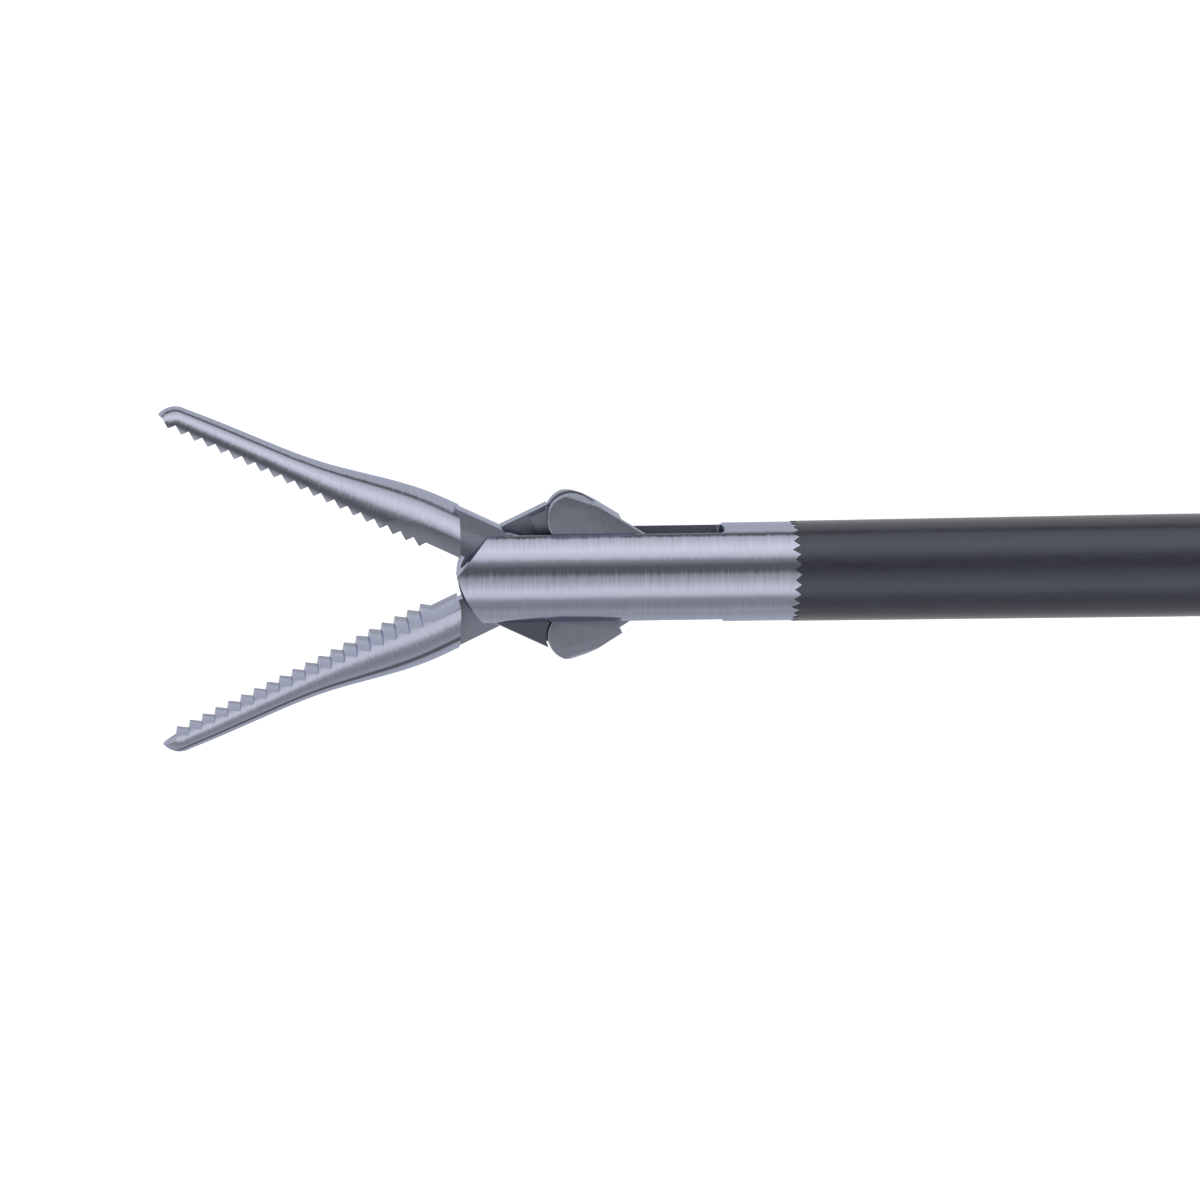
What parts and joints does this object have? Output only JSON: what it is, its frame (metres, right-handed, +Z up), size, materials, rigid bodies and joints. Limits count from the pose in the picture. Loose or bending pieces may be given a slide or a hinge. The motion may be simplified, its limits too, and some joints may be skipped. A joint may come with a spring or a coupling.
{
  "type": "laparoscopic duck nose forceps",
  "caption": "Insulated laparoscopic forceps with two serrated tapering jaws, a forked clevis, links, a rotating shaft and a ring handle.",
  "frame": {"origin": "on the shaft's axis at the front face of the rotation knob", "axes": "+X runs back along the shaft to the handle, +Y away from the finger ring, +Z up from the table on which the forceps lie on their side"},
  "size_m": [0.4331, 0.1216, 0.0174],
  "materials": {
    "steel": "fine ground",
    "hinge_steel": "matt blasted",
    "insulation": "satin shrunk sleeve",
    "handle_plastic": "fine grained",
    "knob_plastic": "satin",
    "seal_rubber": "matt",
    "brass": "turned"
  },
  "bodies": {
    "handle": {"handle_shell_upper": "handle_plastic", "handle_shell_lower": "handle_plastic", "handle_screws": "steel", "lever_pin": "steel", "contact_bush": "brass", "connector_pin": "steel", "connector_collar": "handle_plastic"},
    "shaft": {"rotation_knob": "knob_plastic", "retaining_ring": "steel", "shaft_tube": "steel", "insulation_sleeve": "insulation", "clevis": "steel", "jaw_pin": "steel", "rod_seal": "seal_rubber"},
    "rod": {"push_rod": "steel", "rod_head": "steel", "rod_pin": "steel", "rod_spool": "steel"},
    "upper_jaw": {"jaw_upper": "steel"},
    "lower_jaw": {"jaw_lower": "steel"},
    "upper_link": {"link_upper": "hinge_steel", "elbow_pin_upper": "hinge_steel"},
    "lower_link": {"link_lower": "hinge_steel", "elbow_pin_lower": "hinge_steel"},
    "lever": {"thumb_lever": "handle_plastic", "drive_fork": "steel"}
  },
  "joints": [
    {"name": "lever_turn", "type": "hinge", "parent": "handle", "child": "lever", "pos_m": [0.04876, -0.0062, 0], "axis": [0, 0, -1], "range_deg": [0, 14.13]},
    {"name": "shaft_turn", "type": "hinge", "parent": "handle", "child": "shaft", "pos_m": [0, 0, 0], "axis": [1, 0, 0], "continuous": true},
    {"name": "rod_slide", "type": "slide", "parent": "shaft", "child": "rod", "axis": [1, 0, 0], "range_m": [0, 0.00153]},
    {"name": "upper_jaw_turn", "type": "hinge", "parent": "shaft", "child": "upper_jaw", "pos_m": [-0.3117, 0, 0], "axis": [0, 0, 1], "range_deg": [0, 25.5]},
    {"name": "lower_jaw_turn", "type": "hinge", "parent": "shaft", "child": "lower_jaw", "pos_m": [-0.3117, 0, 0], "axis": [0, 0, -1], "range_deg": [0, 25.5]},
    {"name": "upper_link_turn", "type": "hinge", "parent": "lower_jaw", "child": "upper_link", "pos_m": [-0.30843, 0.00282, 0], "axis": [0, 0, 1], "range_deg": [0, 43.52]},
    {"name": "lower_link_turn", "type": "hinge", "parent": "upper_jaw", "child": "lower_link", "pos_m": [-0.30843, -0.00282, 0], "axis": [0, 0, -1], "range_deg": [0, 43.52]}
  ],
  "couplings": [
    {"joint": "rod_slide", "follows": "lever_turn", "m_per_rad": 0.0061843},
    {"joint": "upper_jaw_turn", "follows": "lever_turn", "ratio": 1.8042},
    {"joint": "lower_jaw_turn", "follows": "lever_turn", "ratio": 1.8042},
    {"joint": "upper_link_turn", "follows": "lever_turn", "ratio": 3.0791},
    {"joint": "lower_link_turn", "follows": "lever_turn", "ratio": 3.0791}
  ]
}
